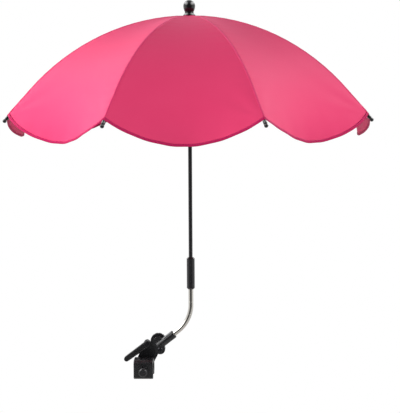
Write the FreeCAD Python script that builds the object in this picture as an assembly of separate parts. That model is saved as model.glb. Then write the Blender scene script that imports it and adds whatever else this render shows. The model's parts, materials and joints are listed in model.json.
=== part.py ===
import FreeCAD
import Part
import math
import os

# Pram parasol: an eight-rib folding parasol on a gooseneck with a bar clamp.
# Millimetres. +Z is up, +X runs along the bar, and the origin is the centre of
# the clamped bar. The gooseneck bends in the XZ plane; the front faces -Y.

V = FreeCAD.Vector

# General fits
overrun = 2.0                  # how far every cut runs past what it cuts
running_fit = 0.05             # radial room of a turning pin
sliding_fit = 0.1              # radial room of the runner on the shaft
part_gap = 0.3                 # room between pieces that pass each other

# Bar clamp
bar_radius = 13.0              # bar that the clamp is drawn closed on
liner_thickness = 2.0
jaw_wall = 6.8
clamp_width = 40.0             # along the bar
jaw_end_angle = 50.0           # how far the hook reaches below the bar's middle
throat_depth = 27.0            # bar axis to the inner face of the front arm
front_arm_thickness = 9.0
front_arm_drop = 12.0          # front arm's straight side below the bar axis
bridge_corner = 9.0            # outer corner from bridge to front arm
bridge_inner_corner = 3.0
screw_boss_radius = 10.0
screw_boss_proud = 2.5
jaw_edge = 1.2
liner_margin = 1.5             # liner's setback from the jaw's side faces
liner_low_angle = 46.0
liner_high_angle = 82.0

# Clamp screw, its pad and its knob
screw_radius = 3.0
thread_room = 0.1
tighten_travel = 2.0
release_travel = 6.0
pad_half_angle = 46.0
pad_back = 5.5                 # pad thickness behind its liner
pad_width = 26.0
pad_height = 22.0
pad_liner_half_angle = 40.0
pad_socket_depth = 3.5
knob_radius = 9.0
knob_length = 11.0
knob_bevel = 2.0
knob_flutes = 8
knob_flute_radius = 1.6
knob_flute_share = 1.09        # flute circle as a share of the knob's radius
knob_screw_depth = 8.0

# Arm from the jaw to the tilt joint
tilt_x = 29.3
tilt_z = 54.2
arm_thickness = 7.0
arm_ear_radius = 12.5
arm_foot_radius = 15.0
arm_foot_z = 4.0
lever_lug_radius = 7.0

# Tilt joint
socket_back = 8.5              # back face of the socket's ear, from the neck plane
disc_radius = 16.5
disc_thickness = 5.5
disc_notches = 12
disc_notch_radius = 0.8
tilt_bolt_radius = 3.0
tilt_bolt_seat = 6.0           # bolt's depth in the socket's ear
tilt_knob_radius = 12.0
tilt_knob_length = 9.0
tilt_knob_lobes = 5
tilt_knob_cut_radius = 5.0
tilt_knob_cut_share = 1.28     # cut circle as a share of the knob's radius
tilt_knob_face = 1.5           # closed face behind the bolt

# Tilt lever, an eccentric cam on a pin beside the disc
lever_pin_x = 5.5
lever_pin_z = 48.5
lever_pin_radius = 2.5
lever_pin_head_radius = 4.2
lever_pin_head = 1.2
lever_throw = 1.2              # eccentricity of the cam
lever_length = 54.0
lever_tail_radius = 5.2
lever_thickness = 10.0
lever_pocket_depth = 2.0
lever_pocket_rim = 2.4
lever_pocket_start = 11.0
lever_slope = 36.0             # degrees below horizontal, tail to the left

# Neck socket
neck_slope = 38.0              # degrees above horizontal
socket_reach = 36.8            # tilt axis to the socket's mouth, along the neck
socket_offset = 7.0            # tilt axis to the neck's axis, square to it
socket_radius = 8.3
socket_tail = 9.0              # socket's length behind the tilt axis
socket_mouth_bevel = 1.2
socket_tail_bevel = 3.5
socket_ear_radius = 11.0
socket_ear_front = 2.0         # ear's front face, before the neck plane
socket_slit = 1.4
socket_slit_length = 22.0
pinch_x = 33.8
pinch_z = 39.8
pinch_boss_radius = 10.0
pinch_boss_front = 8.6          # clear of the socket tube, for the screw head
pinch_boss_back = 7.5
pinch_screw_radius = 2.0
pinch_head_radius = 5.0
pinch_head_height = 2.6
pinch_head_bevel = 1.4
pinch_screw_length = 12.0

# Gooseneck, a wound tube in four stretches
neck_radius = 5.0
neck_groove = 0.45             # depth of the valleys between turns
neck_bore_radius = 3.0
neck_lower_run = 10.0
neck_bend_radius = 70.0
neck_upper_run = 32.0
neck_stretches = 4
neck_turns = 5                 # turns in each stretch
neck_turn_shares = (0.0, 0.22, 0.68, 0.9)
neck_end_radius = 4.4
neck_end_length = 14.0
neck_end_room = 0.2
neck_bore_steps = 8

# Sleeve and shaft
sleeve_radius = 8.2
sleeve_length = 66.0
sleeve_bevel = 2.5
shaft_radius = 4.0
shaft_wall = 0.7
shaft_in_sleeve = 30.0
shaft_free = 485.0             # sleeve's top to the ribs' pivots

# Crown
rib_count = 8
pivot_radius = 11.0            # pivots' distance from the shaft's axis
crown_radius = 14.5
crown_height = 7.0
crown_neck_radius = 7.6
crown_neck_length = 13.0
crown_stud_radius = 5.0
crown_stud_length = 7.0
crown_pin_radius = 1.0
crown_pin_length = 7.6
shaft_in_crown = 2.0           # shaft's top above the pivots
slot_room = 0.3
slot_root_gap = 3.2            # pivot to the root of its slot

# Ribs
rib_arc_radius = 452.0         # bend of an open rib, from the crown
rib_end_slope = 46.5           # degrees below level of the rib's straight outer end
rib_rise = 3.0                 # arc's top above the pivots
rib_width = 4.0
rib_depth = 3.2
rib_wall = 0.6
rib_channel_start = 19.0       # from the shaft's axis
rib_tongue_run = 9.0           # tongue's length inside the channel
rib_eye_radius = 2.6
joint_radius = 185.0           # rib joint's distance from the shaft's axis
joint_drop = 3.4               # rivet below the rib's middle
joint_ear_radius = 2.2
rivet_radius = 0.8
rivet_proud = 0.4

# Rib tips
tip_show = 2.0                 # bare rib between the cover's corner and its tip
tip_socket = 6.0
tip_room = 0.2
tip_wall = 0.9
tip_neck_radius = 2.1
tip_neck_run = 1.6
tip_ball_radius = 3.9

# Stretchers
stretcher_tongue = 2.2
stretcher_wall = 0.6
stretcher_depth = 3.4
stretcher_channel_gap = 14.0   # pivot to where the channel begins
stretcher_tongue_run = 6.0
stretcher_eye_radius = 2.0
stretcher_hub_radius = 2.4
cross_pin_radius = 1.0
cross_pin_length = 5.6
pocket_room = 0.15

# Runner, its stop and its catch
runner_radius = 14.5
runner_height = 8.0
runner_tube_radius = 7.4
runner_tube_length = 44.0
runner_flange_radius = 9.8
runner_flange = 5.0
runner_flange_bevel = 1.5
stop_pin_radius = 1.0
stop_pin_length = 11.0
catch_proud = 2.2
catch_length = 14.0
catch_thickness = 2.2
catch_depth = 2.4              # catch's depth inside the shaft's outer face
catch_toe = 0.6                # catch's height at its low end

# Cover
cover_radius = 375.0           # cover's corners from the shaft's axis
cover_thickness = 0.6
cover_gap = 1.6                # rib's back to the crease of the cloth
cover_hole_radius = 8.0
cover_scallop = 69.0           # how far a gore's middle runs past its corners, along the rib's line
cover_pull = 52.0              # how far a gore's middle is drawn in at its edge
cover_pull_power = 6           # how closely that draw keeps to the edge
cover_sag = 4.0                # how far a gore's middle dips below the ribs half way down
cover_section_shares = (0.0, 0.34, 0.67, 1.0)  # of the way from the rib to the gore's middle
cover_points = 7               # points down each section
cover_seam_gap = 0.3
washer_radius = 12.0
washer_thickness = 0.8

# Finial
finial_skirt_radius = 13.3
finial_neck_radius = 9.1
finial_neck_height = 7.5       # waist above the skirt's foot
finial_ball_radius = 12.0
finial_ball_height = 18.5      # ball's centre above the skirt's foot
finial_skirt_shares = (0.28, 0.3)
finial_stud_room = 0.1
finial_stud_depth = 7.5

# Worked-out sizes and places
liner_radius = bar_radius + liner_thickness
jaw_radius = liner_radius + jaw_wall
rib_step = 360.0 / rib_count
gore_half_angle = math.radians(rib_step / 2)
neck_slope_angle = math.radians(neck_slope)
neck_along = V(math.cos(neck_slope_angle), 0, math.sin(neck_slope_angle))
neck_across = V(math.sin(neck_slope_angle), 0, -math.cos(neck_slope_angle))
tilt_centre = V(tilt_x, 0, tilt_z)
neck_start = tilt_centre + neck_along * socket_reach + neck_across * socket_offset
neck_bend_angle = math.pi / 2 - neck_slope_angle
neck_arc_length = neck_bend_radius * neck_bend_angle
neck_length = neck_lower_run + neck_arc_length + neck_upper_run
disc_front = socket_back
arm_front = disc_front + disc_thickness + part_gap
arm_back = arm_front + arm_thickness
lever_back = arm_front - part_gap
lever_front = lever_back - lever_thickness
lever_pin_centre = V(lever_pin_x, 0, lever_pin_z)
cam_direction = (tilt_centre - lever_pin_centre).normalize()
cam_centre = lever_pin_centre + cam_direction * lever_throw
cam_radius = (tilt_centre - lever_pin_centre).Length - disc_radius - part_gap - lever_throw
front_arm_front = throat_depth + front_arm_thickness
boss_front = front_arm_front + screw_boss_proud
knob_back = boss_front + tighten_travel + part_gap
pad_back_y = liner_radius + pad_back
rib_inner_width = rib_width - 2 * rib_wall
slot_width = rib_inner_width + 2 * slot_room
stretcher_width = stretcher_tongue + 2 * stretcher_wall


def neck_point(s):
    """Place on the gooseneck's centre line, s along it from the socket's mouth, and its direction."""
    if s <= neck_lower_run:
        return neck_start + neck_along * s, neck_along
    bend_start = neck_start + neck_along * neck_lower_run
    bend_centre = bend_start - neck_across * neck_bend_radius
    turned = min((s - neck_lower_run) / neck_bend_radius, neck_bend_angle)
    angle = neck_slope_angle + turned
    along = V(math.cos(angle), 0, math.sin(angle))
    across = V(math.sin(angle), 0, -math.cos(angle))
    past = max(s - neck_lower_run - neck_arc_length, 0)
    return bend_centre + across * neck_bend_radius + along * past, along


neck_end = neck_point(neck_length)[0]
shaft_x = neck_end.x
sleeve_bottom = neck_end.z
sleeve_top = sleeve_bottom + sleeve_length
shaft_bottom = sleeve_top - shaft_in_sleeve
pivot_z = sleeve_top + shaft_free
crown_top = pivot_z + crown_height / 2
rib_centre_z = pivot_z + rib_rise - rib_arc_radius
rib_end_angle = math.radians(rib_end_slope)
rib_bend_run = rib_arc_radius * rib_end_angle
rib_bend_reach = rib_arc_radius * math.sin(rib_end_angle)


def rib_run(radius):
    """Distance along the rib's middle line from its top to the point this far from the shaft's axis."""
    if radius <= rib_bend_reach:
        return rib_arc_radius * math.asin(radius / rib_arc_radius)
    return rib_bend_run + (radius - rib_bend_reach) / math.cos(rib_end_angle)


def rib_point(run, outward=0):
    """Point this far along the rib's middle line, or outside it, for a rib that lies along +X."""
    heading = min(run / rib_arc_radius, rib_end_angle)
    past = max(run - rib_bend_run, 0)
    reach = rib_arc_radius + outward
    return V(
        reach * math.sin(heading) + past * math.cos(heading), 0,
        rib_centre_z + reach * math.cos(heading) - past * math.sin(heading),
    )


corner_run = rib_run(cover_radius)
tip_run = corner_run + tip_show
rib_end_run = tip_run + tip_socket - tip_room
cover_end_run = corner_run + cover_scallop
joint_point = rib_point(rib_run(joint_radius), -joint_drop)
crown_pivot = V(pivot_radius, 0, pivot_z)
runner_z = 2 * joint_point.z - pivot_z
runner_pivot = V(pivot_radius, 0, runner_z)
stretcher_vector = joint_point - runner_pivot
stretcher_length = stretcher_vector.Length
stretcher_slope = math.degrees(math.atan2(stretcher_vector.z, stretcher_vector.x))
runner_top = runner_z + runner_height / 2
runner_bottom = runner_z - runner_height / 2 - runner_tube_length
cover_inner = rib_depth / 2 + cover_gap
cover_outer = cover_inner + cover_thickness
cover_top = rib_centre_z + rib_arc_radius + cover_outer
washer_z = cover_top + part_gap


def cylinder_y(centre, radius, y_from, y_to):
    """Cylinder along Y between two Y places, at the X and Z of centre."""
    return Part.makeCylinder(radius, y_to - y_from, V(centre.x, y_from, centre.z), V(0, 1, 0))


def link(start, start_radius, end, end_radius, y_from, y_to):
    """Plate in the XZ plane: two round ends joined by their outer tangents."""
    along = end - start
    lean = math.acos((start_radius - end_radius) / along.Length)
    heading = math.atan2(along.z, along.x)

    def around(centre, radius, angle):
        return V(centre.x + radius * math.cos(angle), y_from, centre.z + radius * math.sin(angle))

    left, right = heading + lean, heading - lean
    start_left, start_right = around(start, start_radius, left), around(start, start_radius, right)
    end_left, end_right = around(end, end_radius, left), around(end, end_radius, right)
    edges = [
        Part.Arc(start_left, around(start, start_radius, heading + math.pi), start_right).toShape(),
        Part.LineSegment(start_right, end_right).toShape(),
        Part.Arc(end_right, around(end, end_radius, heading), end_left).toShape(),
        Part.LineSegment(end_left, start_left).toShape(),
    ]
    return Part.Face(Part.Wire(edges)).extrude(V(0, y_to - y_from, 0))


def tongue(nose, radius, end, half_height, half_width):
    """Plate in the XZ plane, across Y = 0: a round nose drawn out to a square end."""
    along = end - nose
    heading = math.atan2(along.z, along.x)
    up = V(-math.sin(heading), 0, math.cos(heading))
    ahead = V(math.cos(heading), 0, math.sin(heading))
    top, low = nose + up * radius, nose - up * radius
    edges = [Part.Arc(top, nose - ahead * radius, low).toShape()]
    edges += lines(low, end - up * half_height, end + up * half_height, top)
    plate = Part.Face(Part.Wire(edges)).extrude(V(0, 2 * half_width, 0))
    return plate.translated(V(0, -half_width, 0))


def turned_solid(edges, base, axis):
    """Full turn of a closed outline about an axis."""
    return Part.Face(Part.Wire(edges)).revolve(base, axis, 360)


def lines(*points):
    """Straight edges through the points in order."""
    return [Part.LineSegment(a, b).toShape() for a, b in zip(points, points[1:])]


def at_shaft(shape):
    """Move a shape that was made about the Z axis onto the shaft's axis."""
    return shape.translated(V(shaft_x, 0, 0))


def around_shaft(shape, index):
    """Copy a shape that lies along +X to the place of one rib."""
    turned = shape.copy()
    turned.rotate(V(0, 0, 0), V(0, 0, 1), rib_step * (index + 1 / 2))
    return at_shaft(turned)


def ring_of(shape):
    """One compound of a shape repeated at every rib, still about the Z axis."""
    copies = []
    for index in range(rib_count):
        turned = shape.copy()
        turned.rotate(V(0, 0, 0), V(0, 0, 1), rib_step * (index + 1 / 2))
        copies.append(turned)
    return copies


def arc_band(inner, outer, from_angle, to_angle, width):
    """Part of a ring about the bar, angles in degrees from +Y towards +Z, centred along the bar."""
    def at(radius, angle):
        turn = math.radians(angle)
        return V(-width / 2, radius * math.cos(turn), radius * math.sin(turn))

    middle = (from_angle + to_angle) / 2
    edges = [
        Part.Arc(at(outer, from_angle), at(outer, middle), at(outer, to_angle)).toShape(),
        Part.LineSegment(at(outer, to_angle), at(inner, to_angle)).toShape(),
        Part.Arc(at(inner, to_angle), at(inner, middle), at(inner, from_angle)).toShape(),
        Part.LineSegment(at(inner, from_angle), at(outer, from_angle)).toShape(),
    ]
    return Part.Face(Part.Wire(edges)).extrude(V(width, 0, 0))


def jaw_hook():
    """Hook-shaped jaw over the bar: round back, flat bridge and a front arm for the screw."""
    def at(y, z):
        return V(-clamp_width / 2, y, z)

    def on(radius, angle):
        turn = math.radians(angle)
        return at(radius * math.cos(turn), radius * math.sin(turn))

    def corner(y, z, radius):
        """Quarter arc from the level bridge, going forward, to the upright arm."""
        slant = radius * math.sqrt(1 / 2)
        return Part.Arc(
            at(y + radius, z), at(y + radius - slant, z - radius + slant), at(y, z - radius)
        ).toShape()

    low = -jaw_end_angle
    arm_middle = -(throat_depth + front_arm_thickness / 2)
    arm_end = -front_arm_drop - front_arm_thickness / 2
    outer_corner = corner(-front_arm_front, jaw_radius, bridge_corner)
    inner_corner = corner(-throat_depth, liner_radius, bridge_inner_corner)
    edges = [Part.Arc(on(jaw_radius, low), on(jaw_radius, 0), on(jaw_radius, 90)).toShape()]
    edges += lines(at(0, jaw_radius), at(bridge_corner - front_arm_front, jaw_radius))
    edges.append(outer_corner)
    edges += lines(at(-front_arm_front, jaw_radius - bridge_corner), at(-front_arm_front, -front_arm_drop))
    edges.append(Part.Arc(
        at(-front_arm_front, -front_arm_drop), at(arm_middle, arm_end), at(-throat_depth, -front_arm_drop)
    ).toShape())
    edges += lines(
        at(-throat_depth, -front_arm_drop), at(-throat_depth, liner_radius - bridge_inner_corner)
    )
    edges.append(inner_corner)
    edges += lines(at(bridge_inner_corner - throat_depth, liner_radius), at(0, liner_radius))
    edges.append(Part.Arc(on(liner_radius, 90), on(liner_radius, 0), on(liner_radius, low)).toShape())
    edges += lines(on(liner_radius, low), on(jaw_radius, low))
    hook = Part.Face(Part.Wire(edges)).extrude(V(clamp_width, 0, 0))
    sides = [
        e for e in hook.Edges
        if abs(abs(e.CenterOfMass.x) - clamp_width / 2) < jaw_edge / 2
    ]
    return hook.makeChamfer(jaw_edge, sides)


def clamp_body():
    """Jaw hook, screw boss and the arm that carries the tilt joint and the lever."""
    foot = V(0, 0, arm_foot_z)
    lug_foot = V(arm_foot_radius / 2 - clamp_width / 2, 0, arm_foot_z)
    bar_centre = V(0, 0, 0)
    body = jaw_hook().multiFuse([
        link(foot, arm_foot_radius, tilt_centre, arm_ear_radius, arm_front, arm_back),
        link(lug_foot, arm_foot_radius / 2, lever_pin_centre, lever_lug_radius, arm_front, arm_back),
        cylinder_y(bar_centre, screw_boss_radius, -boss_front, -throat_depth),
    ])
    cuts = [
        cylinder_y(bar_centre, screw_radius + thread_room, -boss_front - overrun, -throat_depth + overrun),
        cylinder_y(tilt_centre, tilt_bolt_radius + running_fit, arm_front - overrun, arm_back + overrun),
        cylinder_y(lever_pin_centre, lever_pin_radius, arm_front - overrun, arm_back + overrun),
        Part.makeCylinder(
            liner_radius, clamp_width + 2 * overrun, V(-clamp_width / 2 - overrun, 0, 0), V(1, 0, 0)
        ),
    ]
    return body.cut(cuts).removeSplitter()


def clamp_liner():
    """Rubber lining of the hook's round back."""
    return arc_band(
        bar_radius, liner_radius, -liner_low_angle, liner_high_angle, clamp_width - 2 * liner_margin
    )


def pressure_pad():
    """Shoe that the screw presses against the bar, hollowed for its liner."""
    top = V(-pad_width / 2, -pad_back_y, pad_height / 2)
    low = V(-pad_width / 2, -pad_back_y, -pad_height / 2)
    turn = math.radians(pad_half_angle)
    lip_y, lip_z = liner_radius * math.cos(turn), liner_radius * math.sin(turn)
    high_lip, low_lip = V(top.x, -lip_y, lip_z), V(top.x, -lip_y, -lip_z)
    edges = lines(low_lip, low, top, high_lip)
    edges.append(Part.Arc(high_lip, V(top.x, -liner_radius, 0), low_lip).toShape())
    pad = Part.Face(Part.Wire(edges)).extrude(V(pad_width, 0, 0))
    socket = cylinder_y(
        V(0, 0, 0), screw_radius + thread_room, -pad_back_y - overrun, -pad_back_y + pad_socket_depth
    )
    return pad.cut(socket)


def pad_liner():
    """Rubber face of the pressure pad."""
    return arc_band(
        bar_radius, liner_radius, 180 - pad_liner_half_angle, 180 + pad_liner_half_angle,
        pad_width - 2 * liner_margin,
    )


def clamp_screw():
    """Screw from the pad's socket into the knob."""
    tip = -pad_back_y + pad_socket_depth - part_gap
    return cylinder_y(V(0, 0, 0), screw_radius, -knob_back - knob_screw_depth, tip)


def clamp_knob():
    """Round hand knob with a bevelled face and grip flutes."""
    face_y = -knob_back - knob_length
    edges = lines(
        V(0, face_y, 0), V(0, -knob_back, 0), V(knob_radius, -knob_back, 0),
        V(knob_radius, face_y + knob_bevel, 0), V(knob_radius - knob_bevel, face_y, 0), V(0, face_y, 0),
    )
    knob = turned_solid(edges, V(0, 0, 0), V(0, 1, 0))
    cuts = [cylinder_y(V(0, 0, 0), screw_radius, -knob_back - knob_screw_depth, -knob_back + overrun)]
    for index in range(knob_flutes):
        turn = 2 * math.pi * index / knob_flutes
        reach = knob_radius * knob_flute_share
        place = V(reach * math.cos(turn), 0, reach * math.sin(turn))
        cuts.append(cylinder_y(place, knob_flute_radius, face_y - overrun, -knob_back + overrun))
    return knob.cut(cuts)


def tilt_disc():
    """Round disc keyed to the socket, with a notched rim that the lever's cam bears on."""
    disc = cylinder_y(tilt_centre, disc_radius, disc_front, disc_front + disc_thickness)
    cuts = [cylinder_y(tilt_centre, tilt_bolt_radius, disc_front - overrun, arm_front)]
    for index in range(disc_notches):
        turn = 2 * math.pi * index / disc_notches
        place = tilt_centre + V(disc_radius * math.cos(turn), 0, disc_radius * math.sin(turn))
        cuts.append(cylinder_y(place, disc_notch_radius, disc_front - overrun, arm_front))
    return disc.cut(cuts)


def tilt_bolt():
    """Bolt fixed in the socket's ear, running back through the arm into the tilt knob."""
    knob_end = arm_back + part_gap + tilt_knob_length
    bolt_end = knob_end - tilt_knob_face - part_gap
    return cylinder_y(tilt_centre, tilt_bolt_radius, socket_back - tilt_bolt_seat, bolt_end)


def tilt_knob():
    """Lobed hand knob behind the arm."""
    front = arm_back + part_gap
    knob = cylinder_y(tilt_centre, tilt_knob_radius, front, front + tilt_knob_length)
    bore_end = front + tilt_knob_length - tilt_knob_face
    cuts = [cylinder_y(tilt_centre, tilt_bolt_radius + running_fit, front - overrun, bore_end)]
    for index in range(tilt_knob_lobes):
        turn = 2 * math.pi * index / tilt_knob_lobes
        reach = tilt_knob_radius * tilt_knob_cut_share
        place = tilt_centre + V(reach * math.cos(turn), 0, reach * math.sin(turn))
        back = front + tilt_knob_length + overrun
        cuts.append(cylinder_y(place, tilt_knob_cut_radius, front - overrun, back))
    return knob.cut(cuts)


def tilt_lever():
    """Cam lever that locks the tilt disc, with a recessed front face."""
    slope = math.radians(lever_slope)
    along = V(-math.cos(slope), 0, -math.sin(slope))
    tail = cam_centre + along * lever_length
    lever = link(cam_centre, cam_radius, tail, lever_tail_radius, lever_front, lever_back)
    grow = (cam_radius - lever_tail_radius) / lever_length
    start_radius = cam_radius - grow * lever_pocket_start - lever_pocket_rim
    pocket = link(
        cam_centre + along * lever_pocket_start, start_radius,
        tail, lever_tail_radius - lever_pocket_rim,
        lever_front - overrun, lever_front + lever_pocket_depth,
    )
    bore = cylinder_y(
        lever_pin_centre, lever_pin_radius + running_fit, lever_front - overrun, lever_back + overrun
    )
    return lever.cut([pocket, bore])


def lever_pin():
    """Headed pin of the lever, pressed into the arm."""
    head_back = lever_front - part_gap
    pin = cylinder_y(lever_pin_centre, lever_pin_radius, head_back, arm_back)
    head = cylinder_y(lever_pin_centre, lever_pin_head_radius, head_back - lever_pin_head, head_back)
    return pin.fuse(head)


def neck_socket():
    """Split tube for the gooseneck, with the tilt joint's ear and a pinch-screw boss."""
    tail = neck_start - neck_along * (socket_reach + socket_tail)
    rise = neck_across * -1

    def at(along, out):
        return tail + neck_along * along + rise * out

    length = socket_reach + socket_tail
    edges = lines(
        at(0, 0), at(0, socket_radius - socket_tail_bevel), at(socket_tail_bevel, socket_radius),
        at(length - socket_mouth_bevel, socket_radius), at(length, socket_radius - socket_mouth_bevel),
        at(length, 0), at(0, 0),
    )
    tube = turned_solid(edges, tail, neck_along)
    pinch_centre = V(pinch_x, 0, pinch_z)
    body = tube.multiFuse([
        link(
            tilt_centre, socket_ear_radius, pinch_centre, pinch_boss_radius,
            -socket_ear_front, pinch_boss_back,
        ),
        cylinder_y(tilt_centre, socket_ear_radius, -socket_ear_front, socket_back),
        cylinder_y(pinch_centre, pinch_boss_radius, -pinch_boss_front, pinch_boss_back),
    ])
    bore_start = neck_start - neck_along * (neck_end_length + neck_end_room)
    bore = Part.makeCylinder(
        neck_end_radius + neck_end_room, neck_end_length + neck_end_room + overrun, bore_start, neck_along
    )
    slit = Part.makeBox(socket_slit_length + overrun, socket_slit, socket_radius + overrun)
    slit.translate(V(-socket_slit_length, -socket_slit / 2, 0))
    slit.Placement = FreeCAD.Placement(
        neck_start, FreeCAD.Rotation(neck_along, V(), rise - V(0, 1, 0), "XZY")
    ).multiply(slit.Placement)
    bolt_hole = tilt_bolt_radius + thread_room
    pinch_hole = pinch_screw_radius + thread_room
    cuts = [
        bore,
        slit,
        cylinder_y(tilt_centre, bolt_hole, socket_back - tilt_bolt_seat, socket_back + overrun),
        cylinder_y(pinch_centre, pinch_hole, -pinch_boss_front - overrun, pinch_screw_end()),
    ]
    return body.cut(cuts).removeSplitter()


def pinch_screw_end():
    """Y place of the pinch screw's point."""
    return pinch_screw_length - pinch_boss_front


def socket_screw():
    """Bevel-headed pinch screw in the socket's boss."""
    centre = V(pinch_x, 0, pinch_z)
    foot, face = -pinch_boss_front, -pinch_boss_front - pinch_head_height

    def at(radius, y):
        return V(pinch_x + radius, y, pinch_z)

    edges = lines(
        at(0, foot), at(pinch_head_radius, foot), at(pinch_head_radius, face + pinch_head_bevel),
        at(pinch_head_radius - pinch_head_bevel, face), at(0, face), at(0, foot),
    )
    head = turned_solid(edges, centre, V(0, 1, 0))
    return head.fuse(cylinder_y(centre, pinch_screw_radius, -pinch_boss_front, pinch_screw_end()))


def neck_ring(s, radius):
    """Circle square to the gooseneck's centre line, with its seam always towards the back."""
    place, along = neck_point(s)
    ring = Part.makeCircle(radius)
    ring.Placement = FreeCAD.Placement(place, FreeCAD.Rotation(V(0, 1, 0), V(), along, "ZXY"))
    return Part.Wire([ring])


def gooseneck_stretch(index):
    """One stretch of the wound tube, with its turns, its bore and, at the ends, its plain spigot."""
    span = neck_length / neck_stretches
    start, end = span * index + part_gap / 2, span * (index + 1) - part_gap / 2
    first, last = index == 0, index == neck_stretches - 1
    start = 0 if first else start
    end = neck_length if last else end
    pitch = (end - start) / neck_turns
    valley, crest = neck_radius - neck_groove, neck_radius
    rings = []
    for turn in range(neck_turns):
        for share, radius in zip(neck_turn_shares, (valley, crest, crest, valley)):
            rings.append(neck_ring(start + (turn + share) * pitch, radius))
    rings.append(neck_ring(end, valley))
    stretch = Part.makeLoft(rings, True, True)
    bore_from, bore_to = start - overrun, end + overrun
    if first:
        place, along = neck_point(0)
        spigot = Part.makeCylinder(neck_end_radius, neck_end_length, place - along * neck_end_length, along)
        stretch = stretch.fuse(spigot)
        bore_from -= neck_end_length
    if last:
        place, along = neck_point(neck_length)
        stretch = stretch.fuse(Part.makeCylinder(neck_end_radius, neck_end_length, place, along))
        bore_to += neck_end_length
    bore_span = bore_to - bore_from
    stations = [bore_from + bore_span * i / neck_bore_steps for i in range(neck_bore_steps + 1)]
    bore = Part.makeLoft([neck_ring(s, neck_bore_radius) for s in stations], True, True)
    return stretch.cut(bore)


def sleeve():
    """Coupling between the gooseneck and the shaft, with rounded ends."""
    body = Part.makeCylinder(sleeve_radius, sleeve_length, V(0, 0, sleeve_bottom))
    body = body.makeChamfer(sleeve_bevel, [e for e in body.Edges if e.Closed])
    shaft_bore = Part.makeCylinder(shaft_radius, shaft_in_sleeve + overrun, V(0, 0, shaft_bottom))
    neck_bore = Part.makeCylinder(
        neck_end_radius + neck_end_room, neck_end_length + neck_end_room + overrun,
        V(0, 0, sleeve_bottom - overrun),
    )
    return at_shaft(body.cut([shaft_bore, neck_bore]))


def stop_pin_z():
    """Height of the pin that stops the runner from rising past its open place."""
    return runner_top + part_gap + stop_pin_radius


def catch_top():
    """Height of the catch's upper shoulder, just below the open runner."""
    return runner_bottom - part_gap


def shaft():
    """Tube from the sleeve to the crown, with its stop-pin hole and its catch window."""
    top = pivot_z + shaft_in_crown
    tube = Part.makeCylinder(shaft_radius, top - shaft_bottom, V(0, 0, shaft_bottom))
    bore = Part.makeCylinder(
        shaft_radius - shaft_wall, top - shaft_bottom + 2 * overrun, V(0, 0, shaft_bottom - overrun)
    )
    pin_hole = cylinder_y(V(0, 0, stop_pin_z()), stop_pin_radius, -stop_pin_length / 2, stop_pin_length / 2)
    window = Part.makeBox(
        shaft_radius + overrun, catch_thickness + 2 * part_gap, catch_length + 2 * part_gap,
        V(-shaft_radius - overrun, -catch_thickness / 2 - part_gap, catch_top() - catch_length - part_gap),
    )
    return at_shaft(tube.cut([bore, pin_hole, window]))


def runner_stop():
    """Cross pin above the open runner."""
    half = stop_pin_length / 2
    return at_shaft(cylinder_y(V(0, 0, stop_pin_z()), stop_pin_radius, -half, half))


def runner_catch():
    """Sprung wedge that holds the runner up, in the shaft's window."""
    top, low = catch_top(), catch_top() - catch_length
    inner = -shaft_radius + catch_depth
    outline = lines(
        V(inner, 0, top), V(-shaft_radius - catch_proud, 0, top), V(-shaft_radius - catch_toe, 0, low),
        V(inner, 0, low), V(inner, 0, top),
    )
    wedge = Part.Face(Part.Wire(outline)).extrude(V(0, catch_thickness, 0))
    return at_shaft(wedge.translated(V(0, -catch_thickness / 2, 0)))


def hub_slots(z_from, z_to):
    """Radial slots of a hub, one at each rib, between two heights."""
    slot = Part.makeBox(
        crown_radius + runner_radius, slot_width, z_to - z_from,
        V(pivot_radius - slot_root_gap, -slot_width / 2, z_from),
    )
    return ring_of(slot)


def crown():
    """Slotted hub on the shaft's top, with the ribs' hinge pins cast in and a stud for the finial."""
    low = pivot_z - crown_height / 2
    body = Part.makeCylinder(crown_radius, crown_height, V(0, 0, low))
    body = body.multiFuse([
        Part.makeCylinder(crown_neck_radius, crown_neck_length, V(0, 0, low - crown_neck_length)),
        Part.makeCylinder(crown_stud_radius, crown_stud_length, V(0, 0, crown_top)),
    ])
    shaft_bore = Part.makeCylinder(
        shaft_radius, crown_height / 2 + crown_neck_length + overrun + shaft_in_crown,
        V(0, 0, low - crown_neck_length - overrun),
    )
    cuts = [shaft_bore] + hub_slots(low - overrun, crown_top + overrun)
    return at_shaft(body.cut(cuts).multiFuse(ring_of(crown_pin())))


def crown_pin():
    """Hinge pin of the rib that lies along +X."""
    return cylinder_y(crown_pivot, crown_pin_radius, -crown_pin_length / 2, crown_pin_length / 2)


def runner():
    """Sliding hub: slotted collar with pockets open below, and a thumb tube with a flange."""
    low = runner_z - runner_height / 2
    body = Part.makeCylinder(runner_radius, runner_height, V(0, 0, low))
    flange = Part.makeCylinder(runner_flange_radius, runner_flange, V(0, 0, runner_bottom))
    flange = flange.makeChamfer(runner_flange_bevel, [e for e in flange.Edges if e.Closed])
    body = body.multiFuse([
        Part.makeCylinder(runner_tube_radius, runner_tube_length, V(0, 0, runner_bottom)), flange,
    ])
    bore = Part.makeCylinder(
        shaft_radius + sliding_fit, runner_top - runner_bottom + 2 * overrun, V(0, 0, runner_bottom - overrun)
    )
    pocket_radius = cross_pin_radius + pocket_room
    half = cross_pin_length / 2 + part_gap
    pocket = link(
        runner_pivot, pocket_radius, runner_pivot - V(0, 0, runner_height), pocket_radius, -half, half
    )
    cuts = [bore] + hub_slots(low - overrun, runner_top + overrun) + ring_of(pocket)
    return at_shaft(body.cut(cuts))


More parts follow.
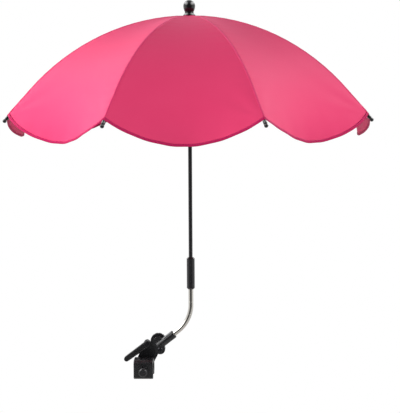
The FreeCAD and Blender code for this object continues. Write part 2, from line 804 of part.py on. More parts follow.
def rib():
    """Bent channel with an eye at the crown, ears for the stretcher and its rivet, along +X."""
    bend_centre = V(0, 0, rib_centre_z)
    half, inner_half = rib_width / 2, rib_inner_width / 2
    top, low = rib_arc_radius + rib_depth / 2, rib_arc_radius - rib_depth / 2
    web = top - rib_wall

    def at(y, reach):
        return V(0, y, rib_centre_z + reach)

    section = Part.Face(Part.Wire(lines(
        at(-half, low), at(-half, top), at(half, top), at(half, low), at(inner_half, low),
        at(inner_half, web), at(-inner_half, web), at(-inner_half, low), at(-half, low),
    )))
    start = rib_run(rib_channel_start) / rib_arc_radius
    end_section = section.copy()
    end_section.rotate(bend_centre, V(0, 1, 0), rib_end_slope)
    section.rotate(bend_centre, V(0, 1, 0), math.degrees(start))
    channel = section.revolve(bend_centre, V(0, 1, 0), math.degrees(rib_end_angle - start))
    straight = end_section.extrude(rib_point(rib_end_run) - rib_point(rib_bend_run))
    tongue_end = rib_point(rib_run(rib_channel_start + rib_tongue_run))
    joint_top = rib_point(rib_run(joint_radius))
    root = rib_depth / 2 - rib_wall / 2
    parts = [straight, tongue(crown_pivot, rib_eye_radius, tongue_end, root, inner_half)]
    for y_middle in (-half + rib_wall / 2, half - rib_wall / 2):
        ear = tongue(joint_point, joint_ear_radius, joint_top, joint_ear_radius, rib_wall / 2)
        parts.append(ear.translated(V(0, y_middle, 0)))
    body = channel.multiFuse(parts)
    eye = cylinder_y(crown_pivot, crown_pin_radius + running_fit, -rib_width, rib_width)
    rivet = cylinder_y(joint_point, rivet_radius, -half - rivet_proud, half + rivet_proud)
    return body.cut(eye).fuse(rivet)


def rib_tip():
    """Ball-ended cap on the rib's end, along +X."""
    bore = math.hypot(rib_width / 2, rib_depth / 2) + tip_room
    outer = bore + tip_wall
    neck_x = tip_socket + tip_neck_run
    ball_x = neck_x + math.sqrt(tip_ball_radius ** 2 - tip_neck_radius ** 2)
    edges = lines(
        V(tip_socket, 0, 0), V(tip_socket, 0, bore), V(0, 0, bore), V(0, 0, outer),
        V(tip_socket, 0, outer), V(neck_x, 0, tip_neck_radius),
    )
    end = V(ball_x + tip_ball_radius, 0, 0)
    edges.append(Part.Arc(V(neck_x, 0, tip_neck_radius), V(ball_x, 0, tip_ball_radius), end).toShape())
    edges += lines(end, V(tip_socket, 0, 0))
    cap = turned_solid(edges, V(0, 0, 0), V(1, 0, 0))
    cap.rotate(V(0, 0, 0), V(0, 1, 0), rib_end_slope)
    return cap.translated(rib_point(tip_run))


def stretcher():
    """Channel stay from the runner to the rib, with a cross pin at the runner, along +X."""
    half, depth = stretcher_width / 2, stretcher_depth / 2
    inner_half, web = stretcher_tongue / 2, stretcher_wall - stretcher_depth / 2
    start, end = stretcher_channel_gap, stretcher_length - stretcher_channel_gap
    section = Part.Face(Part.Wire(lines(
        V(start, -half, depth), V(start, -half, -depth), V(start, half, -depth), V(start, half, depth),
        V(start, inner_half, depth), V(start, inner_half, web), V(start, -inner_half, web),
        V(start, -inner_half, depth), V(start, -half, depth),
    )))
    channel = section.extrude(V(end - start, 0, 0))
    root = depth - stretcher_wall / 2
    hub, eye = V(0, 0, 0), V(stretcher_length, 0, 0)
    body = channel.multiFuse([
        tongue(hub, stretcher_hub_radius, V(start + stretcher_tongue_run, 0, 0), root, inner_half),
        tongue(eye, stretcher_eye_radius, V(end - stretcher_tongue_run, 0, 0), root, inner_half),
        cylinder_y(hub, cross_pin_radius, -cross_pin_length / 2, cross_pin_length / 2),
    ])
    body = body.cut(cylinder_y(eye, rivet_radius + running_fit, -rib_width, rib_width))
    body.rotate(V(0, 0, 0), V(0, 1, 0), -stretcher_slope)
    return body.translated(runner_pivot)


def gore_share(turn):
    """How far from the rib to the gore's middle a turn lies: 0 on the rib, levelling off at 1."""
    return 1 - ((gore_half_angle - turn) / gore_half_angle) ** 2


def cover_point(run, turn, outward):
    """Point of the cover down the rib's line, turned away from the rib, this far off its middle line."""
    on_rib = rib_point(run, outward)
    flat = math.cos(gore_half_angle) / math.cos(gore_half_angle - turn)
    pull = cover_pull * gore_share(turn) * (run / cover_end_run) ** cover_pull_power
    sag = cover_sag * gore_share(turn) * math.sin(math.pi * min(run / corner_run, 1))
    radius = on_rib.x * flat - pull
    return V(radius * math.cos(turn), radius * math.sin(turn), on_rib.z - sag)


def cover_section(turn, shift):
    """Thin outline of the cover in the upright plane at this turn from the rib, moved sideways by shift."""
    start = rib_run(cover_hole_radius)
    end = corner_run + gore_share(turn) * cover_scallop
    side = V(math.sin(turn), -math.cos(turn), 0) * shift

    def curve(outward):
        line = Part.BSplineCurve()
        steps = cover_points - 1
        line.interpolate([
            cover_point(start + (end - start) * i / steps, turn, outward) + side for i in range(cover_points)
        ])
        return line

    outer, inner = curve(cover_outer), curve(cover_inner)
    edges = [outer.toShape()] + lines(outer.EndPoint, inner.EndPoint)
    edges += [inner.toShape()] + lines(inner.StartPoint, outer.StartPoint)
    return Part.Wire(Part.__sortEdges__(edges))


def cover_panel():
    """Two half gores joined by the seam that lies on the rib, along +X."""
    sections = []
    for share in cover_section_shares:
        shift = cover_seam_gap / 2 if share == max(cover_section_shares) else 0
        sections.append(cover_section(gore_half_angle * share, shift))
    half_gore = Part.makeLoft(sections, True, True)
    other = half_gore.mirror(V(0, 0, 0), V(0, 1, 0))
    return half_gore.fuse(other)


def cover_washer():
    """Washer between the cover and the finial."""
    disc = Part.makeCylinder(washer_radius, washer_thickness, V(0, 0, washer_z))
    hole = Part.makeCylinder(
        crown_stud_radius + finial_stud_room, washer_thickness + 2 * overrun, V(0, 0, washer_z - overrun)
    )
    return at_shaft(disc.cut(hole))


def finial():
    """Ball that tapers to a waist above a flared skirt, screwed onto the crown's stud."""
    base = washer_z + washer_thickness
    centre, neck = base + finial_ball_height, base + finial_neck_height
    crest = centre + finial_ball_radius
    across, up = finial_skirt_shares
    waist, drop = finial_ball_radius - finial_neck_radius, centre - neck
    taper_radius = (drop ** 2 + waist ** 2) / (2 * waist)
    half_turn = math.asin(drop / taper_radius) / 2

    def at(radius, z):
        return V(radius, 0, z)

    skirt_foot, skirt_top = at(finial_skirt_radius, base), at(finial_neck_radius, neck)
    flare = at(
        finial_neck_radius + (finial_skirt_radius - finial_neck_radius) * across, base + (neck - base) * up
    )
    taper = at(
        finial_ball_radius - taper_radius * (1 - math.cos(half_turn)),
        centre - taper_radius * math.sin(half_turn),
    )
    shoulder = finial_ball_radius * math.sqrt(1 / 2)
    widest = at(finial_ball_radius, centre)
    edges = [
        Part.Arc(skirt_foot, flare, skirt_top).toShape(),
        Part.Arc(skirt_top, taper, widest).toShape(),
        Part.Arc(widest, at(shoulder, centre + shoulder), at(0, crest)).toShape(),
    ]
    edges += lines(at(0, crest), at(0, base), skirt_foot)
    body = turned_solid(edges, V(0, 0, 0), V(0, 0, 1))
    stud_bore = Part.makeCylinder(
        crown_stud_radius + finial_stud_room, finial_stud_depth + overrun, V(0, 0, base - overrun)
    )
    return at_shaft(body.cut(stud_bore))


def save(name, shape):
    """Write one piece to its own file."""
    shape.exportStep("parts/" + name + ".step")


def main():
    os.makedirs("parts", exist_ok=True)
    pieces = (
        clamp_body, clamp_liner, pressure_pad, pad_liner, clamp_screw, clamp_knob,
        tilt_disc, tilt_bolt, tilt_knob, tilt_lever, lever_pin, neck_socket, socket_screw,
        sleeve, shaft, runner_stop, runner_catch, crown, runner, cover_washer, finial,
    )
    for piece in pieces:
        save(piece.__name__, piece())
    for index in range(neck_stretches):
        save("gooseneck_" + str(index + 1), gooseneck_stretch(index))
    for piece in (rib, rib_tip, stretcher, cover_panel):
        shape = piece()
        for index in range(rib_count):
            save(piece.__name__ + "_" + str(index + 1), around_shaft(shape, index))


main()
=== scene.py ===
"""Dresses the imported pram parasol: cloth cover, wound neck, finishes, studio and camera."""
import json
import logging
import math
from dataclasses import dataclass, field
from enum import Enum
from typing import Any, Optional, Sequence

import bpy
import numpy as np
from mathutils import Matrix, Vector


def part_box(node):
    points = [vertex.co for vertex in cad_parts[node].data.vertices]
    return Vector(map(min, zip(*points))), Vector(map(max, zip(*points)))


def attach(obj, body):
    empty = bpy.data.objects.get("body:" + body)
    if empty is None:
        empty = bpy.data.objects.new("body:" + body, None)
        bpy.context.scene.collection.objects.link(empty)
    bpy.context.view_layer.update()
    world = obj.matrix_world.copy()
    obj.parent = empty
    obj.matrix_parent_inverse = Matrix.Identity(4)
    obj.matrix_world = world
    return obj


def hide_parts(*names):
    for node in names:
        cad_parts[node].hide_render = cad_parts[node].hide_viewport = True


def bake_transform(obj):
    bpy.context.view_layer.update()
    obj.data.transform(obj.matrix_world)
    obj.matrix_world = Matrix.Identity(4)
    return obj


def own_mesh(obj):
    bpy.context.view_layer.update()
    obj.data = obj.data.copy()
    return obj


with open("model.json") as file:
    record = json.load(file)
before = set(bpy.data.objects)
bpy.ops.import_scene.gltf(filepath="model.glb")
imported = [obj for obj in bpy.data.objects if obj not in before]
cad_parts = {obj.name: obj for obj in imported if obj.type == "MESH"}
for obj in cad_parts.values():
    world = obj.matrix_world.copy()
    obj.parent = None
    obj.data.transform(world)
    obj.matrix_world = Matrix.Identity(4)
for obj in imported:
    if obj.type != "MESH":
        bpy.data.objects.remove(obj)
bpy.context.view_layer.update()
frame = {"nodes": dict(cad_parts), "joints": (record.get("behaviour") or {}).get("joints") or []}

LOG = logging.getLogger("pram_parasol")
MM = 0.001
RIBS = 8
CLOTH_UV = "cloth"
WAVE_SCALE = 2 * math.pi / 20      # a band texture's scale for a spacing of one metre
MIX_A, MIX_B, MIX_RESULT = 6, 7, 2  # colour sockets of a mix node
MeshData = tuple[np.ndarray, list[list[int]]]  # points, and point numbers of each face
Place = tuple[float, float, float]
Feed = tuple[dict[str, Any], dict[str, bpy.types.NodeSocket]]  # a shader's values and links


class Side(Enum):
    """The two sides of a rib, as the sign of the turn from it."""

    RIGHT = -1
    LEFT = 1


class Slot(Enum):
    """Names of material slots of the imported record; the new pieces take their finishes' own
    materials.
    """

    COVER = "cover_cloth"
    WASHER = "washer_cloth"
    NECK = "neck_metal"
    FASTENER = "fastener_steel"


def linear(code: str) -> tuple[float, float, float, float]:
    """Turns an sRGB hex colour into linear light.

    Args:
        code: Six hex digits, with or without a leading hash.

    Returns:
        Linear red, green and blue with full alpha.
    """
    digits = code.lstrip("#")
    channels = [int(digits[i:i + 2], 16) / 255 for i in (0, 2, 4)]
    low = [c / 12.92 if c <= 0.04045 else ((c + 0.055) / 1.055) ** 2.4 for c in channels]
    return (low[0], low[1], low[2], 1.0)


def add_node(
    tree: bpy.types.NodeTree,
    kind: str,
    settings: Optional[dict[Any, Any]] = None,
    links: Optional[dict[Any, bpy.types.NodeSocket]] = None,
) -> bpy.types.NodeOutputs:
    """Adds one node with its settings and the links into it.

    Args:
        tree: Node tree that gets the node.
        kind: Blender's name of the node type, without ShaderNode at its start.
        settings: Values by property name, or by input name or number.
        links: Output sockets by the input name or number that they feed.

    Returns:
        The new node's output sockets.
    """
    node = tree.nodes.new(f"ShaderNode{kind}")
    for name, value in (settings or {}).items():
        if isinstance(name, str) and hasattr(node, name):
            setattr(node, name, value)
        else:
            node.inputs[name].default_value = value
    for name, output in (links or {}).items():
        tree.links.new(output, node.inputs[name])
    return node.outputs


def fresh_tree(owner: bpy.types.Material | bpy.types.World) -> bpy.types.NodeTree:
    """Turns on a material's or world's nodes and empties them.

    Args:
        owner: The material or world.

    Returns:
        Its empty node tree.
    """
    owner.use_nodes = True
    owner.node_tree.nodes.clear()
    return owner.node_tree


def add_object(name: str, data: bpy.types.ID) -> bpy.types.Object:
    """Makes an object and puts it in the scene.

    Args:
        name: The object's name.
        data: Its mesh, lamp or camera.

    Returns:
        The new object.
    """
    thing = bpy.data.objects.new(name, data)
    bpy.context.scene.collection.objects.link(thing)
    return thing


@dataclass(frozen=True)
class Finish:
    """A surface finish: its name and what it feeds a shader."""

    name: str

    def material(self) -> bpy.types.Material:
        """Gives this finish's material, which is made when first asked for.

        Returns:
            The material.
        """
        known = bpy.data.materials.get(self.name)
        if known:
            return known
        material = bpy.data.materials.new(self.name)
        tree = fresh_tree(material)
        shader = add_node(tree, "BsdfPrincipled", *self.feed(tree))["BSDF"]
        add_node(tree, "OutputMaterial", links={"Surface": shader})
        return material

    def feed(self, tree: bpy.types.NodeTree) -> Feed:
        """Adds the finish's own nodes; every finish has its own."""
        raise NotImplementedError


@dataclass(frozen=True)
class HardFinish(Finish):
    """Coated, moulded or plated surface: mottled tone, fine grain, softened and worn edges."""

    colour: str
    tone: str                          # second tone of the mottling
    worn: str                          # colour that shows on worn edges
    roughness: tuple[float, float]
    metallic: float = 0.0
    ior: float = 1.5
    specular: float = 0.5
    grain_mm: float = 0.6
    grain_depth_mm: float = 0.01
    mottle_mm: float = 14.0
    mottle_range: tuple[float, float] = (0.3, 0.7)    # noise that spans the roughness
    edge_mm: float = 0.5
    edge_samples: int = 4
    wear: float = 0.35
    wear_edge: tuple[float, float] = (0.99, 0.86)     # cosine where wear starts, and is full

    def feed(self, tree: bpy.types.NodeTree) -> Feed:
        """Adds the nodes of mottling, grain, rounded edges and wear.

        Args:
            tree: The material's node tree.

        Returns:
            Values and links of the shader.
        """
        place = add_node(tree, "TexCoord")["Object"]
        mottle, grain = (
            add_node(
                tree, "TexNoise", {"Scale": 1 / (spacing * MM), "Detail": detail},
                {"Vector": place},
            )["Fac"]
            for spacing, detail in ((self.mottle_mm, 3.0), (self.grain_mm, 2.0))
        )
        rounded = add_node(
            tree, "Bevel", {"samples": self.edge_samples, "Radius": self.edge_mm * MM}
        )["Normal"]
        true_normal = add_node(tree, "NewGeometry")["Normal"]
        level = add_node(
            tree, "VectorMath", {"operation": "DOT_PRODUCT"}, {0: rounded, 1: true_normal}
        )["Value"]
        edge = add_node(
            tree, "MapRange",
            {"From Min": self.wear_edge[0], "From Max": self.wear_edge[1], "To Max": self.wear},
            {"Value": level},
        )["Result"]
        patchy = add_node(tree, "Math", {"operation": "MULTIPLY"}, {0: edge, 1: mottle})["Value"]
        ground = add_node(
            tree, "Mix",
            {"data_type": "RGBA", MIX_A: linear(self.colour), MIX_B: linear(self.tone)},
            {0: mottle},
        )[MIX_RESULT]
        colour = add_node(
            tree, "Mix", {"data_type": "RGBA", MIX_B: linear(self.worn)},
            {0: patchy, MIX_A: ground},
        )[MIX_RESULT]
        rough = add_node(
            tree, "MapRange",
            {"From Min": self.mottle_range[0], "From Max": self.mottle_range[1],
             "To Min": self.roughness[0], "To Max": self.roughness[1]},
            {"Value": mottle},
        )["Result"]
        bump = add_node(
            tree, "Bump", {"Distance": self.grain_depth_mm * MM},
            {"Height": grain, "Normal": rounded},
        )["Normal"]
        values = {"Metallic": self.metallic, "IOR": self.ior, "Specular IOR Level": self.specular}
        return values, {"Base Color": colour, "Roughness": rough, "Normal": bump}


@dataclass(frozen=True)
class WovenFinish(Finish):
    """Woven cloth or tape: crossed yarns with painted shade between them, slow shifts of tone and
    a soft sheen.
    """

    colour: str
    tone: str                          # second tone of the slow shifts
    # painted shade: the darker colour that fills the gaps between the yarns
    valley_shade: str                        # colour between the yarns
    sheen_tint: str
    warp_mm: float
    weft_mm: float
    yarn_depth_mm: float
    yarn_waver: float = 0.6
    # how strongly the painted shade darkens the gaps between the yarns
    valley_share: float = 0.25
    tone_mm: float = 90.0
    roughness: tuple[float, float] = (0.5, 0.6)
    specular: float = 0.25
    sheen: float = 0.06
    sheen_roughness: float = 0.4

    def feed(self, tree: bpy.types.NodeTree) -> Feed:
        """Adds the nodes of the weave and the tone shifts.

        Args:
            tree: The material's node tree.

        Returns:
            Values and links of the shader.
        """
        place = add_node(tree, "UVMap", {"uv_map": CLOTH_UV})["UV"]
        warp, weft = (
            add_node(
                tree, "TexWave",
                {"wave_type": "BANDS", "bands_direction": direction, "Detail": 1.0,
                 "Scale": WAVE_SCALE / (spacing * MM), "Distortion": self.yarn_waver},
                {"Vector": place},
            )["Fac"]
            for direction, spacing in (("X", self.warp_mm), ("Y", self.weft_mm))
        )
        weave = add_node(tree, "Math", {"operation": "MULTIPLY"}, {0: warp, 1: weft})["Value"]
        shift = add_node(
            tree, "TexNoise", {"Scale": 1 / (self.tone_mm * MM), "Detail": 4.0}, {"Vector": place}
        )["Fac"]
        ground = add_node(
            tree, "Mix",
            {"data_type": "RGBA", MIX_A: linear(self.colour), MIX_B: linear(self.tone)},
            {0: shift},
        )[MIX_RESULT]
        # painted shade: the gaps between the yarns are mixed towards the darker valley colour
        depth = add_node(
            tree, "MapRange", {"To Min": self.valley_share, "To Max": 0.0}, {"Value": weave}
        )["Result"]
        colour = add_node(
            tree, "Mix", {"data_type": "RGBA", MIX_B: linear(self.valley_shade)},
            {0: depth, MIX_A: ground},
        )[MIX_RESULT]
        rough = add_node(
            tree, "MapRange",
            {"To Min": self.roughness[0], "To Max": self.roughness[1]}, {"Value": shift},
        )["Result"]
        bump = add_node(
            tree, "Bump", {"Distance": self.yarn_depth_mm * MM}, {"Height": weave}
        )["Normal"]
        tint = linear(self.sheen_tint)
        values = {
            "Specular IOR Level": self.specular, "Specular Tint": tint, "Sheen Tint": tint,
            "Sheen Weight": self.sheen, "Sheen Roughness": self.sheen_roughness,
        }
        return values, {"Base Color": colour, "Roughness": rough, "Normal": bump}


# Plain-woven polyester, dyed and calendered: even colour with a soft bloom at grazing
# angles. Its yarns are 0.3 mm apart; they are drawn at 1.8 mm so that they show.
COVER_CLOTH = WovenFinish(
    "polyester_plain_woven_raspberry", colour="#DD3C6A", tone="#E14671", valley_shade="#BD2854",
    sheen_tint="#FFC4EC", warp_mm=1.8, weft_mm=1.8, yarn_depth_mm=0.05,
)
# The same cloth felled over itself along the seams, four layers deep and flatter; its colour is
# painted darker than the cloth, as shade along the seam lines.
SHADED_SEAM_FOLD = WovenFinish(
    "polyester_plain_woven_felled_seam", colour="#D23767", tone="#D83F6E", valley_shade="#B02450",
    sheen_tint="#FFC4EC", warp_mm=1.8, weft_mm=1.8, yarn_depth_mm=0.05,
)
# Polyester grosgrain tape, woven with ribs across it: darker and flatter than the cloth.
# Ribs of 0.8 mm are drawn at 1.6 mm.
EDGE_TAPE = WovenFinish(
    "polyester_grosgrain_tape_crimson", colour="#B01E52", tone="#B9255A", valley_shade="#8C123C",
    sheen_tint="#F080A0", warp_mm=6.0, weft_mm=1.6, yarn_depth_mm=0.12,
)
# Twisted polyester sewing thread: a hard little highlight on each stitch.
# Its twist of 0.4 mm is drawn at 0.8 mm.
SEWING_THREAD = WovenFinish(
    "polyester_thread_twisted_crimson", colour="#BE3365", tone="#C53C6D", valley_shade="#8E1C45",
    sheen_tint="#FFC0D4", warp_mm=0.8, weft_mm=2.4, yarn_depth_mm=0.06,
    roughness=(0.4, 0.5),
)
# Steel tube with satin powder coat: dark, with a broad soft highlight and a faint peel.
TUBE_COAT = HardFinish(
    "steel_powder_coated_satin_black", colour="#131315", tone="#18181A", worn="#3A3A3E",
    roughness=(0.3, 0.4), specular=0.4, grain_mm=1.2, grain_depth_mm=0.02, edge_mm=0.4,
)
# Pressed steel channel, dip-coated black: a little glossier, with bare metal at the edges.
RIB_COAT = HardFinish(
    "steel_pressed_dip_coated_black", colour="#161618", tone="#1D1D20", worn="#66666B",
    roughness=(0.28, 0.42), specular=0.4, grain_mm=0.8, grain_depth_mm=0.012,
    edge_mm=0.25, wear=0.6,
)
# Glass-filled nylon, moulded in a spark-eroded tool: even satin black with a fine grain.
# The 0.15 mm grain is drawn at 0.7 mm.
MOULDED_NYLON = HardFinish(
    "nylon_moulded_satin_black", colour="#111113", tone="#161618", worn="#343438",
    roughness=(0.32, 0.42), specular=0.4, grain_mm=0.7, grain_depth_mm=0.02, edge_mm=0.6,
)
# ABS, moulded in a polished tool: mirror gloss that shows the lamps as clear shapes.
POLISHED_ABS = HardFinish(
    "abs_moulded_polished_black", colour="#0A0A0C", tone="#0E0E10", worn="#242428",
    roughness=(0.08, 0.14), grain_mm=6.0, wear=0.15,
)
# Steel strip wound into a tube and bright nickel-plated: warm mirror with drawn lines.
WOUND_NICKEL = HardFinish(
    "steel_wound_nickel_plated", colour="#BDBAB4", tone="#AEABA5", worn="#DAD7D2",
    roughness=(0.1, 0.18), metallic=1.0, grain_mm=0.5, grain_depth_mm=0.006,
    mottle_mm=9.0, edge_mm=0.15,
)
# Zinc-plated steel: grey and slightly cloudy, brighter where heads rub.
ZINC_STEEL = HardFinish(
    "steel_zinc_plated_clear", colour="#A6A8AC", tone="#8F9195", worn="#D0D2D6",
    roughness=(0.26, 0.4), metallic=1.0, grain_mm=0.5, grain_depth_mm=0.008,
    mottle_mm=4.0, edge_mm=0.2,
)
# Steel screws, blackened and oiled: near black, with a small sharp highlight on each head.
BLACK_OXIDE = HardFinish(
    "steel_black_oxide_oiled", colour="#2A2A2D", tone="#222225", worn="#6A6A70",
    roughness=(0.24, 0.34), metallic=0.8, grain_mm=0.5, grain_depth_mm=0.008,
    mottle_mm=4.0, edge_mm=0.25,
)
# Nitrile rubber, moulded: dull near-black that takes almost no highlight.
LINER_RUBBER = HardFinish(
    "nitrile_rubber_moulded_black", colour="#1A1A1A", tone="#222222", worn="#333333",
    roughness=(0.7, 0.85), specular=0.3, grain_depth_mm=0.03, edge_mm=0.3,
)


def distance(line: np.ndarray) -> np.ndarray:
    """Gives every point's distance along a line of points."""
    return np.cumsum(np.linalg.norm(np.diff(line, axis=0, prepend=line[:1]), axis=1))


def shell(outer: np.ndarray, inner: np.ndarray) -> tuple[np.ndarray, list[list[int]], np.ndarray]:
    """Closes two matching grids of points into one thin shell.

    Args:
        outer: Rows by columns of points of the outer layer.
        inner: The same for the inner layer.

    Returns:
        Points, faces and the pairs of points whose edge is sharp.
    """
    rows, columns = outer.shape[:2]
    count = rows * columns
    number = np.arange(count).reshape(rows, columns)
    quads = np.stack(
        [number[:-1, :-1], number[1:, :-1], number[1:, 1:], number[:-1, 1:]], -1
    ).reshape(-1, 4)
    rim = np.concatenate([number[0, :-1], number[:-1, -1], number[-1, :0:-1], number[:0:-1, 0]])
    edges = np.stack([rim, np.roll(rim, -1)], -1)
    walls = np.concatenate([edges, edges[:, ::-1] + count], -1)
    faces = quads.tolist() + (quads + count)[:, ::-1].tolist() + walls.tolist()
    points = np.concatenate([outer.reshape(-1, 3), inner.reshape(-1, 3)])
    return points, faces, np.concatenate([edges, edges + count])


def loft(sections: np.ndarray, ring: bool = False) -> MeshData:
    """Skins closed sections, with flat ends or as a ring.

    Args:
        sections: Sections by points, every section a closed outline.
        ring: True if the last section meets the first.

    Returns:
        Points and faces.
    """
    count, sides = sections.shape[:2]
    number = np.arange(count * sides).reshape(count, sides)
    ahead = np.roll(number, -1, 0) if ring else number[1:]
    here = number if ring else number[:-1]
    quads = np.stack(
        [here, np.roll(here, -1, 1), np.roll(ahead, -1, 1), ahead], -1
    ).reshape(-1, 4)
    faces = quads.tolist()
    if not ring:
        faces += [number[0, ::-1].tolist(), number[-1].tolist()]
    return sections.reshape(-1, 3), faces


def joined(parts: Sequence[MeshData]) -> MeshData:
    """Puts several meshes into one.

    Args:
        parts: Points and faces of each mesh.

    Returns:
        Points and faces of all of them.
    """
    points, faces, total = [], [], 0
    for some, theirs in parts:
        points.append(some)
        faces += [[index + total for index in face] for face in theirs]
        total += len(some)
    return np.concatenate(points), faces


def turned(
    profile: Sequence[tuple[float, float]], centre: np.ndarray, axis: np.ndarray, sides: int
) -> MeshData:
    """Turns a profile about an axis.

    Args:
        profile: Radius and height pairs along the axis.
        centre: Point on the axis at height zero.
        axis: Direction of the axis.
        sides: Points round each ring.

    Returns:
        Points and faces.
    """
    along = axis / np.linalg.norm(axis)
    upright = abs(along[2]) > abs(along[0])
    across = np.cross(along, (1.0, 0.0, 0.0) if upright else (0.0, 0.0, 1.0))
    across /= np.linalg.norm(across)
    beside = np.cross(along, across)
    angle = np.linspace(0, 2 * math.pi, sides, endpoint=False)[:, None]
    ring = np.cos(angle) * across + np.sin(angle) * beside
    return loft(np.array([centre + along * h + ring * r for r, h in profile]))


def add_piece(
    name: str,
    points: np.ndarray,
    faces: list[list[int]],
    finish: Finish,
    body: Optional[str] = None,
    uv: Optional[np.ndarray] = None,
    sharp: Optional[np.ndarray] = None,
) -> bpy.types.Object:
    """Makes one mesh piece in the row frame and lets it ride.

    Args:
        name: The piece's name.
        points: Its points in metres.
        faces: Lists of point numbers.
        finish: Its surface.
        body: Body that carries it, or None to leave it unattached.
        uv: Cloth coordinates of every point, in metres.
        sharp: Pairs of points whose edge isn't smoothed.

    Returns:
        The new object.
    """
    mesh = bpy.data.meshes.new(name)
    mesh.from_pydata(points.tolist(), [], faces)
    mesh.polygons.foreach_set("use_smooth", np.ones(len(mesh.polygons), bool))
    if sharp is not None:
        pairs = np.zeros(len(mesh.edges) * 2, int)
        mesh.edges.foreach_get("vertices", pairs)
        pairs = np.sort(pairs.reshape(-1, 2), 1)
        wanted = np.sort(sharp, 1)
        count = len(points)
        hard = np.isin(pairs[:, 0] * count + pairs[:, 1], wanted[:, 0] * count + wanted[:, 1])
        mesh.attributes.new("sharp_edge", "BOOLEAN", "EDGE").data.foreach_set("value", hard)
    if uv is not None:
        corners = np.zeros(len(mesh.loops), int)
        mesh.loops.foreach_get("vertex_index", corners)
        layer = mesh.uv_layers.new(name=CLOTH_UV)
        layer.data.foreach_set("uv", uv[corners].ravel().astype(np.float32))
    mesh.materials.append(finish.material())
    mesh.validate()
    piece = add_object(name, mesh)
    if body:
        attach(piece, body)
    LOG.info("piece %s: %d points", name, len(points))
    return piece


def joint_fact(name: str, fact: str = "pos_m") -> np.ndarray:
    """Gives a joint's place, or its axis, in the row frame."""
    return np.array(next(j[fact] for j in frame["joints"] if j["name"] == name), float)


def shaft_axis() -> np.ndarray:
    """Gives the shaft's place in plan, as a point at height zero."""
    low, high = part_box("shaft")
    return np.array([(low.x + high.x) / 2, (low.y + high.y) / 2, 0.0])


